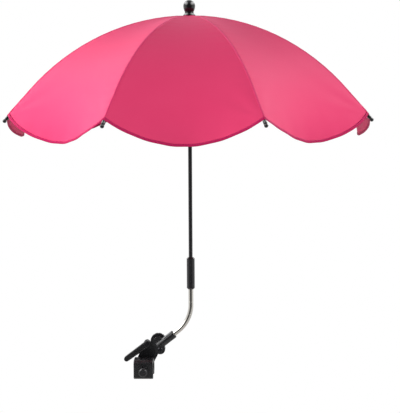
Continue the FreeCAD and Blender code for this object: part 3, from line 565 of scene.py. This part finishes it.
@dataclass
class Cover:
    """Scalloped cloth cover: half a gore each side of every rib, seams, tape and stitches."""

    arc_radius: float = 452 * MM       # bend of an open rib
    end_slope: float = math.radians(46.5)
    rise: float = 3 * MM               # rib arc's top above the pivots
    corner_radius: float = 375 * MM
    scallop: float = 69 * MM
    pull: float = 52 * MM
    pull_power: int = 6
    sag: float = 4 * MM
    lift: float = 3.5 * MM             # cloth's middle above the rib's middle line
    thickness: float = 0.6 * MM
    hole_radius: float = 8 * MM
    rows: int = 96
    columns: int = 25
    lining_half: tuple[float, float] = (18 * MM, 10 * MM)    # near the crown, and further out
    lining_runs: tuple[float, float] = (90 * MM, 200 * MM)
    lining_drop: float = 0.8 * MM
    lining_thickness: float = 0.4 * MM
    seam_half: float = 2.4 * MM
    seam_height: float = 0.7 * MM
    seam_start: int = 2                # seams begin at this many times the start run,
    seam_stitch_start: int = 3         # and their stitches at this many
    seam_across: tuple[float, ...] = (-1, -0.86, -0.45, 0, 0.45, 0.86, 1)
    seam_crown: tuple[float, ...] = (0, 0.85, 1, 0.9, 1, 0.85, 0)
    tape_width: float = 6 * MM
    tape_thickness: float = 0.45 * MM
    tape_steps: int = 61
    # the folded tape's outline: shares of its width back from the edge, and of its height
    tape_fold: tuple[tuple[float, float], ...] = (
        (1, 1), (0.66, 1.12), (0.33, 1.05), (0.05, 1), (-0.1, 0), (0.05, -1), (0.33, -1.05),
        (0.66, -1.12), (1, -1), (1, -0.3), (0.05, -0.3), (0.05, 0.3), (1, 0.3),
    )
    stitch_pitch: float = 4.2 * MM
    stitch_length: float = 3.0 * MM
    stitch_shares: tuple[float, ...] = (0, 0.3, 0.7, 1)
    stitch_swell: tuple[float, ...] = (0.45, 1, 1, 0.45)
    stitch_fine: int = 400
    seam_stitch_aside: float = 0.62    # share of the seam's half width
    seam_stitch_lift: float = 0.9      # share of its height
    hem_stitch_back: float = 0.72      # share of the tape's width
    hem_stitch_lift: float = 1.1       # share of its thickness
    hem_stitch_span: tuple[float, float] = (0.01, 0.995)    # shares of half a gore
    thread_radius: float = 0.32 * MM
    thread_sides: int = 5
    rosette_teeth: int = 24
    rosette_steps: int = 96
    rosette_notch: float = 0.05        # share of its radius
    rosette_hole: float = 0.75         # share of the cloth's hole
    pucker_height: float = 0.55 * MM
    pucker_spacing: float = 23 * MM
    pucker_reach: float = 9 * MM
    pucker_shift: float = 1.7          # phase from rib to rib
    hem_wave: float = 0.5 * MM
    hem_spacing: float = 48 * MM
    hem_reach: float = 30 * MM
    corner_fold: float = 1.1 * MM
    corner_reach: float = 34 * MM
    corner_spokes: int = 8
    fold_keep: float = 0.26            # width that the folded cloth keeps
    fold_lean: float = math.radians(26.7)    # how far the fold swells outwards
    fold_slope: float = math.radians(-19.1)
    fold_offset: float = -7.1 * MM
    axis: np.ndarray = field(default_factory=shaft_axis)

    def __post_init__(self) -> None:
        """Works out the runs along a rib that the cover follows."""
        self.half = math.pi / RIBS
        self.centre_z = joint_fact("rib_hinge_1")[2] + self.rise - self.arc_radius
        self.bend_run = self.arc_radius * self.end_slope
        reach = self.arc_radius * math.sin(self.end_slope)
        self.corner_run = self.bend_run + (self.corner_radius - reach) / math.cos(self.end_slope)
        self.end_run = self.corner_run + self.scallop
        self.start_run = self.arc_radius * math.asin(self.hole_radius / self.arc_radius)

    def edge_run(self, turn: np.ndarray) -> np.ndarray:
        """Gives the run of the scalloped edge at each turn from the rib."""
        share = 1 - ((self.half - np.abs(turn)) / self.half) ** 2
        return self.corner_run + share * self.scallop

    def point(self, run: np.ndarray, turn: np.ndarray, lift: np.ndarray) -> np.ndarray:
        """Places points on or near the cloth, for a rib along +X about the shaft.

        Args:
            run: Distance down the rib's line.
            turn: Angle from the rib, up to half a gore either way.
            lift: Distance above the cloth's middle layer.

        Returns:
            Points, with the last axis X, Y and Z.
        """
        run, turn, lift = np.broadcast_arrays(run, turn, lift)
        aside = self.half - np.abs(turn)
        share = 1 - (aside / self.half) ** 2
        heading = np.minimum(run / self.arc_radius, self.end_slope)
        past = np.maximum(run - self.bend_run, 0)
        reach = self.arc_radius + self.lift + lift
        out = reach * np.sin(heading) + past * np.cos(heading)
        up = self.centre_z + reach * np.cos(heading) - past * np.sin(heading)
        radius = out * math.cos(self.half) / np.cos(aside)
        radius = radius - self.pull * share * (run / self.end_run) ** self.pull_power
        dip = np.sin(math.pi * np.minimum(run / self.corner_run, 1))
        return np.stack(
            [radius * np.cos(turn), radius * np.sin(turn), up - self.sag * share * dip], -1
        )

    def ripple(self, run: np.ndarray, turn: np.ndarray, index: int) -> np.ndarray:
        """Gives the small lifts of sewn cloth: seam puckers, hem waves and corner folds.

        Args:
            run: Distance down the rib's line.
            turn: Angle from the rib.
            index: Number of the rib, which shifts the puckers.

        Returns:
            Lift of each point.
        """
        aside = np.abs(turn) * np.minimum(run, self.corner_radius)
        near = aside / self.pucker_reach
        pucker = near * np.exp(1 - near) * self.pucker_height
        phase = 2 * math.pi * run / self.pucker_spacing + self.pucker_shift * index
        pucker = pucker * (1 + np.sin(phase)) / 2
        from_edge = self.edge_run(turn) - run
        to_middle = (self.half - np.abs(turn)) * self.corner_radius
        wave = np.cos(2 * math.pi * to_middle / self.hem_spacing)
        wave = wave * np.exp(-from_edge / self.hem_reach)
        wave = wave * np.minimum(aside / self.hem_spacing, 1) * self.hem_wave
        inward = self.corner_run - run
        away = np.hypot(aside, inward) / self.corner_reach
        bearing = np.arctan2(aside, np.maximum(inward, MM))
        spoke = (1 - np.cos(self.corner_spokes * bearing)) / 2
        fold = away * np.exp(1 - away) * spoke * self.corner_fold
        return pucker + wave + fold

    def placed(self, points: np.ndarray, index: int) -> np.ndarray:
        """Turns points from a rib along +X to the place of one rib.

        Args:
            points: Points about the shaft.
            index: Number of the rib, from 0.

        Returns:
            Points in the row frame.
        """
        angle = 2 * math.pi / RIBS * (index + 0.5)
        spin = np.array([
            [math.cos(angle), math.sin(angle), 0],
            [-math.sin(angle), math.cos(angle), 0],
            [0, 0, 1],
        ])
        return points @ spin + self.axis

    def soften(self, piece: bpy.types.Object) -> None:
        """Gives a cloth piece its own mesh; it works out where a fold would start, but nothing
        gathers the piece.

        Args:
            piece: The cloth piece.
        """
        over = np.array([-math.sin(self.fold_slope), 0, math.cos(self.fold_slope)])
        start = self.point(np.array(self.start_run), np.array(0.0), 0.0)
        start = start + over * self.fold_offset
        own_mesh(piece)

    def half_gore(self, side: Side) -> tuple[np.ndarray, np.ndarray]:
        """Lays a grid over half a gore, from its rib to its middle.

        Args:
            side: Side of the rib.

        Returns:
            Runs and turns of the grid's points.
        """
        turn = np.linspace(0, side.value * self.half, self.columns)[None, ::side.value]
        share = np.linspace(0, 1, self.rows)[:, None]
        return self.start_run + share * (self.edge_run(turn) - self.start_run), turn

    def cloth(self, index: int, side: Side) -> bpy.types.Object:
        """Builds half a gore of cloth, from a rib to the gore's middle.

        Args:
            index: Number of the rib, from 0.
            side: Side of the rib.

        Returns:
            The cloth piece.
        """
        run, turn = self.half_gore(side)
        layer = self.ripple(run, turn, index)
        layers = [self.point(run, turn, layer + face * self.thickness / 2) for face in (1, -1)]
        points, faces, sharp = shell(*layers)
        flat = np.stack([layers[0][..., 1], run], -1).reshape(-1, 2)
        piece = add_piece(
            f"cover_cloth_{index + 1}_{side.name.lower()}", self.placed(points, index), faces,
            COVER_CLOTH, f"rib_{index + 1}", np.concatenate([flat, flat]), sharp,
        )
        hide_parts(f"cover_panel_{index + 1}")
        return piece

    def strip(
        self, name: str, index: int, width: np.ndarray, levels: tuple[np.ndarray, np.ndarray]
    ) -> None:
        """Builds a strip of folded cloth along one rib.

        Args:
            name: The piece's name, without the rib's number.
            index: Number of the rib, from 0.
            width: Half width at each run.
            levels: Heights of the outer and inner layer, from one edge to the other.
        """
        first, last = self.start_run * self.seam_start, self.corner_run - self.tape_width
        run = np.linspace(first, last, len(width))[:, None]
        across = np.array(self.seam_across)[None, :] * width[:, None]
        turn = np.clip(across / run, -self.half, self.half)
        base = self.ripple(run, turn, index)
        points, faces, sharp = shell(*(self.point(run, turn, base + level) for level in levels))
        flat = np.stack(np.broadcast_arrays(across, run), -1).reshape(-1, 2)
        add_piece(
            f"{name}_{index + 1}", self.placed(points, index), faces, SHADED_SEAM_FOLD,
            f"rib_{index + 1}", np.concatenate([flat, flat]), sharp,
        )

    def seam(self, index: int) -> None:
        """Builds one rib's felled seam, and the tape that lines it underneath.

        Args:
            index: Number of the rib, from 0.
        """
        steps = self.rows * 2
        run = np.linspace(self.start_run * self.seam_start, self.corner_run, steps)
        crown = np.array(self.seam_crown) * self.seam_height + self.thickness / 2
        foot = np.full(crown.shape, self.thickness / 6)    # inside the cloth
        self.strip("cover_seam", index, np.full(steps, self.seam_half), (crown, foot))
        top = np.full(crown.shape, -self.lining_drop)
        self.strip(
            "cover_lining", index, np.interp(run, self.lining_runs, self.lining_half),
            (top, top - self.lining_thickness),
        )

    def tape(self, index: int, side: Side) -> bpy.types.Object:
        """Builds the tape folded over half a gore's scalloped edge.

        Args:
            index: Number of the rib, from 0.
            side: Side of the rib.

        Returns:
            The tape piece.
        """
        ends = sorted((0, side.value * self.half))
        turn = np.linspace(*ends, self.tape_steps)[:, None]
        edge = self.edge_run(turn)
        full = self.thickness / 2 + self.tape_thickness
        back, rise = np.array(self.tape_fold).T
        run = edge - back * self.tape_width
        turns = np.broadcast_to(turn, run.shape)
        lifts = self.ripple(np.minimum(run, edge), turns, index) + rise * full
        sections = self.point(run, turns, lifts)[:, ::-1]
        points, faces = loft(sections)
        along = distance(sections[:, 0])
        girth = np.linspace(0, 2 * self.tape_width, sections.shape[1])
        flat = np.stack(np.broadcast_arrays(girth[None, :], along[:, None]), -1).reshape(-1, 2)
        return add_piece(
            f"cover_tape_{index + 1}_{side.name.lower()}", self.placed(points, index), faces,
            EDGE_TAPE, f"rib_{index + 1}", flat,
        )

    def stitch_rows(self, side: Optional[Side]) -> list[tuple[np.ndarray, np.ndarray, float]]:
        """Gives the lines that the stitches follow.

        Args:
            side: Side of the rib whose tape is sewn, or None for the rib's seam.

        Returns:
            Runs, turns and lift of each line.
        """
        if side is None:
            first = self.start_run * self.seam_stitch_start
            run = np.linspace(first, self.corner_run - self.tape_width, self.stitch_fine)
            lift = self.thickness / 2 + self.seam_height * self.seam_stitch_lift
            aside = self.seam_half * self.seam_stitch_aside / run
            return [(run, way.value * np.minimum(aside, self.half), lift) for way in Side]
        turn = np.linspace(*self.hem_stitch_span, self.stitch_fine) * self.half * side.value
        lift = self.thickness / 2 + self.tape_thickness * self.hem_stitch_lift
        hem = self.edge_run(turn) - self.tape_width * self.hem_stitch_back
        return [(hem, turn, face * lift) for face in (1, -1)]

    def stitches(self, index: int, side: Optional[Side]) -> bpy.types.Object:
        """Builds the stitches of a seam or of half a gore's tape.

        Args:
            index: Number of the rib, from 0.
            side: Side of the rib whose tape is sewn, or None for the rib's seam.

        Returns:
            The piece that holds all of them.
        """
        angle = np.linspace(0, 2 * math.pi, self.thread_sides, endpoint=False)
        swell = np.array(self.stitch_swell)[:, None, None] * self.thread_radius
        parts = []
        for run, turn, lift in self.stitch_rows(side):
            level = self.point(run, turn, self.ripple(run, turn, index) + lift)
            above = self.point(run, turn, self.ripple(run, turn, index) + lift + MM)
            out = (above - level) / MM * np.sign(lift)
            length = distance(level)
            count = int(length[-1] / self.stitch_pitch)
            starts = np.arange(count) * self.stitch_pitch + self.stitch_pitch / 4
            for start in starts:
                stations = start + np.array(self.stitch_shares) * self.stitch_length
                middle = np.stack([np.interp(stations, length, level[:, k]) for k in range(3)], -1)
                up = np.array([np.interp(start, length, out[:, k]) for k in range(3)])
                ahead = middle[-1] - middle[0]
                beside = np.cross(up, ahead)
                beside /= np.linalg.norm(beside)
                ring = np.cos(angle)[:, None] * beside + np.sin(angle)[:, None] * up
                parts.append(loft(middle[:, None] + swell * ring[None]))
        points, faces = joined(parts)
        uv = np.stack([points[:, 0] + points[:, 1], points[:, 2]], -1)
        where = "seam" if side is None else side.name.lower()
        return add_piece(
            f"cover_stitches_{index + 1}_{where}", self.placed(points, index), faces,
            SEWING_THREAD, f"rib_{index + 1}", uv,
        )

    def cloth_area(self) -> float:
        """Measures the middle layer of half a gore.

        Returns:
            Area in square metres.
        """
        grid = self.point(*self.half_gore(Side.LEFT), 0.0)
        down, over = np.diff(grid, axis=0)[:, :-1], np.diff(grid, axis=1)[:-1]
        return float(np.linalg.norm(np.cross(down, over), axis=-1).sum())

    def build(self) -> None:
        area = self.cloth_area()
        rim = self.point(np.array([self.end_run]), np.array([self.half]), 0.0)[0]
        for index in range(RIBS):
            self.seam(index)
            self.stitches(index, None)
            for side in Side:
                piece = self.cloth(index, side)
                trims = [self.tape(index, side), self.stitches(index, side)]
                for soft in (piece, *trims):
                    self.soften(soft)
        self.rosette()

    def rosette(self) -> None:
        """Builds the pinked cloth washer under the finial."""
        low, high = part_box("cover_washer")
        outer, inner = (high.x - low.x) / 2, self.hole_radius * self.rosette_hole
        angle = np.linspace(0, 2 * math.pi, self.rosette_steps, endpoint=False)[:, None]
        tooth = 1 - self.rosette_notch * np.abs(np.sin(angle * self.rosette_teeth / 2))
        shares = np.array([0, 0.5, 1, 1, 0.5, 0])[None, :]
        radius = inner + shares * (outer * tooth - inner)
        height = np.array([high.z] * 3 + [low.z] * 3)[None, :] + 0 * radius
        sections = np.stack([radius * np.cos(angle), radius * np.sin(angle), height], -1)
        points, faces = loft(sections + self.axis, ring=True)
        piece = add_piece(
            "cover_rosette", points, faces, EDGE_TAPE, "mast",
            points[:, :2] - self.axis[:2],
        )
        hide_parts("cover_washer")


@dataclass
class Neck:
    """Bendable gooseneck: four stretches of wound bright strip."""

    slope: float = math.radians(38)
    reach: float = 36.8 * MM           # tilt joint to the socket's mouth
    offset: float = 7 * MM
    lower_run: float = 10 * MM
    bend_radius: float = 70 * MM
    upper_run: float = 32 * MM
    radius: float = 5 * MM
    groove: float = 0.05 * MM
    crest_power: int = 6               # how flat the turns' crests are
    pitch: float = 2 * MM
    end_length: float = 12 * MM
    end_radius: float = 4.4 * MM
    steps_per_turn: int = 10
    sides: int = 28
    bodies: tuple[str, ...] = ("socket", "neck_1", "neck_2", "neck_3", "mast")

    def __post_init__(self) -> None:
        """Works out how long the neck is and where its bend's centre lies."""
        along, across = self.ways(self.slope)
        start = joint_fact("hub_tilt") + along * self.reach + across * self.offset
        self.arc = self.bend_radius * (math.pi / 2 - self.slope)
        self.length = self.lower_run + self.arc + self.upper_run
        self.centre = start + along * self.lower_run - across * self.bend_radius

    @staticmethod
    def ways(angle: float) -> tuple[np.ndarray, np.ndarray]:
        """Gives the directions along and across the neck where it rises at an angle."""
        rise, level = math.sin(angle), math.cos(angle)
        return np.array([level, 0, rise]), np.array([rise, 0, -level])

    def at(self, s: float) -> tuple[np.ndarray, np.ndarray]:
        """Follows the neck's middle line.

        Args:
            s: Distance from the socket's mouth; below zero inside the socket.

        Returns:
            The place and the direction there.
        """
        bent = min(max(s - self.lower_run, 0), self.arc) / self.bend_radius
        along, across = self.ways(self.slope + bent)
        straight = min(s - self.lower_run, 0) + max(s - self.lower_run - self.arc, 0)
        return self.centre + across * self.bend_radius + along * straight, along

    def stretch(self, index: int) -> None:
        """Builds one wound stretch.

        Args:
            index: Number of the stretch, from 0.
        """
        count = len(self.bodies) - 1
        span = self.length / count
        first, last = index * span, (index + 1) * span
        begin = first - self.end_length if index == 0 else first
        stop = last + self.end_length if index == count - 1 else last
        steps = round((stop - begin) / self.pitch * self.steps_per_turn)
        angle = np.linspace(0, 2 * math.pi, self.sides, endpoint=False)
        side = np.array([0.0, 1.0, 0.0])
        sections = []
        for s in np.linspace(begin, stop, steps):
            place, along = self.at(s)
            over = np.cross(along, side)
            phase = (s / self.pitch - angle / (2 * math.pi)) % 1
            crest = 1 - (2 * phase - 1) ** self.crest_power
            girth = self.radius - self.groove * (1 - crest)
            if not 0 <= s <= self.length:
                girth = np.full_like(angle, self.end_radius)
            ring = np.cos(angle)[:, None] * side + np.sin(angle)[:, None] * over
            sections.append(place + ring * girth[:, None])
        points, faces = loft(np.array(sections)[:, ::-1])
        piece = add_piece(f"neck_winding_{index + 1}", points, faces, WOUND_NICKEL)
        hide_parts(f"gooseneck_{index + 1}")
        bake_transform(piece)

    def build(self) -> None:
        """Builds every stretch."""
        for index in range(len(self.bodies) - 1):
            self.stretch(index)


@dataclass
class RibFittings:
    """Domed rivet heads at the ribs' joints."""

    rib_half: float = 2 * MM
    head_radius: float = 1.5 * MM
    head_height: float = 0.8 * MM
    head_sides: int = 16
    # the dome's outline: shares of its radius and height
    dome: tuple[tuple[float, float], ...] = ((1, 0), (0.94, 0.45), (0.7, 0.8), (0.3, 1))

    def rivets(self, index: int) -> None:
        """Builds both heads of one rib's rivet.

        Args:
            index: Number of the rib, from 0.
        """
        name = f"stretcher_hinge_{index + 1}"
        centre, axis = joint_fact(name), joint_fact(name, "axis")
        outline = [(self.head_radius * wide, self.head_height * high) for wide, high in self.dome]
        heads = [
            turned(outline, centre + side * axis * self.rib_half, side * axis, self.head_sides)
            for side in (1, -1)
        ]
        points, faces = joined(heads)
        add_piece(
            f"rivet_heads_{index + 1}", points, faces, ZINC_STEEL,
            f"rib_{index + 1}",
        )

    def build(self) -> None:
        """Builds the fittings of every rib."""
        for index in range(RIBS):
            self.rivets(index)


@dataclass
class Hardware:
    """The CAD pieces that keep their shape and get a finish."""

    coats: dict[Finish, tuple[str, ...]] = field(default_factory=lambda: {
        TUBE_COAT: ("shaft", "sleeve", "runner_stop", "runner_catch"),
        RIB_COAT: tuple(
            f"{kind}_{number}" for kind in ("rib", "stretcher") for number in range(1, RIBS + 1)
        ),
        MOULDED_NYLON: ("clamp_body", "pressure_pad", "clamp_knob", "tilt_disc", "tilt_knob",
                        "tilt_lever", "neck_socket", "crown", "runner"),
        POLISHED_ABS: ("finial", *(f"rib_tip_{number}" for number in range(1, RIBS + 1))),
        ZINC_STEEL: ("clamp_screw", "tilt_bolt"),
        BLACK_OXIDE: ("lever_pin", "socket_screw"),
        LINER_RUBBER: ("clamp_liner", "pad_liner"),
    })

    def dress(self) -> None:
        """Gives every kept CAD piece its finish."""
        for finish, names in self.coats.items():
            for name in names:
                mesh = frame["nodes"][name].data
                mesh.materials.clear()
                mesh.materials.append(finish.material())
                LOG.info("finish %s: %s", name, finish.name)


@dataclass(frozen=True)
class Lamp:
    """A square soft lamp."""

    name: str
    place: Place
    size: float
    power: float

    def hang(self, target: Place) -> None:
        """Puts the lamp in the scene.

        Args:
            target: Point that it faces.
        """
        data = bpy.data.lights.new(self.name, "AREA")
        data.size, data.energy = self.size, self.power
        lamp = add_object(self.name, data)
        lamp.visible_glossy = False    # gloss shows the soft boxes of the surround instead
        lamp.location = self.place
        aim = Vector(target) - Vector(self.place)
        lamp.rotation_euler = aim.to_track_quat("-Z", "Y").to_euler()


@dataclass
class Studio:
    """Pale floor, soft lamps, white surround and the camera."""

    image_width: int = 400
    image_height: int = 413
    focal_px: float = 1447.15
    sensor: float = 36.0
    eye_aside: float = 87.5 * MM       # camera from the shaft, along X
    eye_back: float = -2942.2 * MM     # and along Y
    eye_up: float = 125 * MM           # above the cover's corners
    pan: float = math.radians(1.32)
    pitch: float = math.radians(6.16)
    roll: float = math.radians(0.29)
    floor_z: float = -0.3
    floor_half: float = 1.2
    floor_fade: tuple[float, float] = (0.35, 0.85)    # from paper to white, from the middle
    paper: str = "#F4F4F2"
    white: str = "#FFFFFF"
    surround_fill: float = 0.36        # world's light on the object
    room_front: float = 0.1            # how bright gloss shows the unlit room in front,
    room_back: float = 0.6             # the wall behind,
    room_sides: float = 1.2            # the walls beside
    room_boxes: float = 7.0            # and the soft boxes above those
    # where each of them gives way to the next, as parts of a direction one long
    front_edge: tuple[float, float] = (-0.85, -0.35)
    side_edge: tuple[float, float] = (0.28, 0.6)
    box_edge: tuple[float, float] = (0.25, 0.55)
    lamps: tuple[Lamp, ...] = (
        Lamp("key_left", (-2.1, -0.3, 0.95), 1.3, 66.0),
        Lamp("fill_right", (2.2, -0.3, 0.85), 1.3, 23.0),
        Lamp("front_low", (0.1, -2.6, 0.35), 1.2, 30.0),
    )
    target: Place = (0.1, 0.0, 0.5)

    def camera(self, corner_z: float) -> None:
        """Sets the camera where the photograph was taken from.

        Args:
            corner_z: Height of the cover's corners.
        """
        ahead = Vector((
            -math.sin(self.pan) * math.cos(self.pitch),
            math.cos(self.pan) * math.cos(self.pitch), -math.sin(self.pitch),
        ))
        right = ahead.cross(Vector((0, 0, 1))).normalized()
        up = right.cross(ahead)
        tilt_cos, tilt_sin = math.cos(self.roll), math.sin(self.roll)
        right, up = right * tilt_cos - up * tilt_sin, right * tilt_sin + up * tilt_cos
        turn = Matrix((right, up, -ahead)).transposed().to_4x4()
        data = bpy.data.cameras.new("photo_camera")
        data.sensor_width = self.sensor
        data.lens = self.focal_px / max(self.image_width, self.image_height) * self.sensor
        eye = add_object("photo_camera", data)
        from_shaft = Vector((self.eye_aside, self.eye_back, corner_z + self.eye_up))
        eye.matrix_world = Matrix.Translation(Vector(shaft_axis()) + from_shaft) @ turn
        bpy.context.scene.camera = eye

    @staticmethod
    def seen_directly(tree: bpy.types.NodeTree) -> bpy.types.NodeSocket:
        """Tells camera, mirror and glass rays from rays that light the object.

        Args:
            tree: Node tree of the floor or the world.

        Returns:
            A socket that is 1 for rays that show the surround.
        """
        path = add_node(tree, "LightPath")
        seen = path["Is Camera Ray"]
        for kind in ("Is Glossy Ray", "Is Transmission Ray"):
            seen = add_node(
                tree, "Math", {"operation": "MAXIMUM"}, {0: seen, 1: path[kind]}
            )["Value"]
        return seen

    def surround(self) -> None:
        """Makes the world white to the eye, an even fill, and a room with soft boxes to gloss."""
        world = bpy.data.worlds.new("white_surround")
        tree = fresh_tree(world)
        heading = add_node(tree, "TexCoord")["Generated"]
        heading = add_node(tree, "SeparateXYZ", links={0: heading})
        aside = add_node(tree, "Math", {"operation": "ABSOLUTE"}, {0: heading["X"]})["Value"]
        mirrored = None
        for way, edge, near in (
            (heading["Z"], self.box_edge, self.room_sides),
            (aside, self.side_edge, self.room_back),
            (heading["Y"], self.front_edge, self.room_front),
        ):
            mirrored = add_node(
                tree, "MapRange",
                {"interpolation_type": "SMOOTHSTEP", "From Min": edge[0], "From Max": edge[1],
                 "To Min": near, "To Max": self.room_boxes},
                {"Value": way, "To Max": mirrored} if mirrored else {"Value": way},
            )["Result"]
        straight = add_node(tree, "LightPath")["Is Camera Ray"]
        shown = add_node(
            tree, "MapRange", {"To Max": 1.0}, {"Value": straight, "To Min": mirrored}
        )["Result"]
        strength = add_node(
            tree, "MapRange", {"To Min": self.surround_fill},
            {"Value": self.seen_directly(tree), "To Max": shown},
        )["Result"]
        glow = add_node(
            tree, "Background", {"Color": linear(self.white)}, {"Strength": strength}
        )["Background"]
        add_node(tree, "OutputWorld", links={"Surface": glow})
        bpy.context.scene.world = world

    def floor(self) -> None:
        """Lays a pale floor that keeps the shadow and fades into the white surround."""
        half, z = self.floor_half, self.floor_z
        mesh = bpy.data.meshes.new("studio_floor")
        mesh.from_pydata(
            [(-half, -half, z), (half, -half, z), (half, half, z), (-half, half, z)], [],
            [(0, 1, 2, 3)],
        )
        material = bpy.data.materials.new("floor_paper_matt_white")
        tree = fresh_tree(material)
        place = add_node(tree, "TexCoord")["Object"]
        flat = add_node(
            tree, "VectorMath", {"operation": "MULTIPLY", 1: (1, 1, 0)}, {0: place}
        )["Vector"]
        away = add_node(tree, "VectorMath", {"operation": "LENGTH"}, {0: flat})["Value"]
        fade = add_node(
            tree, "MapRange",
            {"interpolation_type": "SMOOTHSTEP", "From Min": self.floor_fade[0],
             "From Max": self.floor_fade[1]},
            {"Value": away},
        )["Result"]
        paper = add_node(tree, "BsdfDiffuse", {"Color": linear(self.paper)})["BSDF"]
        glow = add_node(
            tree, "Emission", {"Color": linear(self.white)}, {"Strength": self.seen_directly(tree)}
        )["Emission"]
        mixed = add_node(tree, "MixShader", links={0: fade, 1: paper, 2: glow})["Shader"]
        add_node(tree, "OutputMaterial", links={"Surface": mixed})
        mesh.materials.append(material)
        add_object("studio_floor", mesh)

    def build(self, corner_z: float) -> None:
        """Sets up the camera, the surround, the floor and the lamps.

        Args:
            corner_z: Height of the cover's corners.
        """
        bpy.context.scene.view_settings.view_transform = "Standard"
        self.camera(corner_z)
        self.surround()
        self.floor()
        for lamp in self.lamps:
            lamp.hang(self.target)


def main() -> None:
    """Builds every sub-assembly in order."""
    logging.basicConfig(level=logging.INFO, format="%(message)s")
    cover = Cover()
    corner = cover.point(np.array([cover.corner_run]), np.array([0.0]), -cover.lift)[0]
    Studio().build(float(corner[2]))
    cover.build()
    Neck().build()
    RibFittings().build()
    Hardware().dress()


if __name__ == "__main__":
    main()
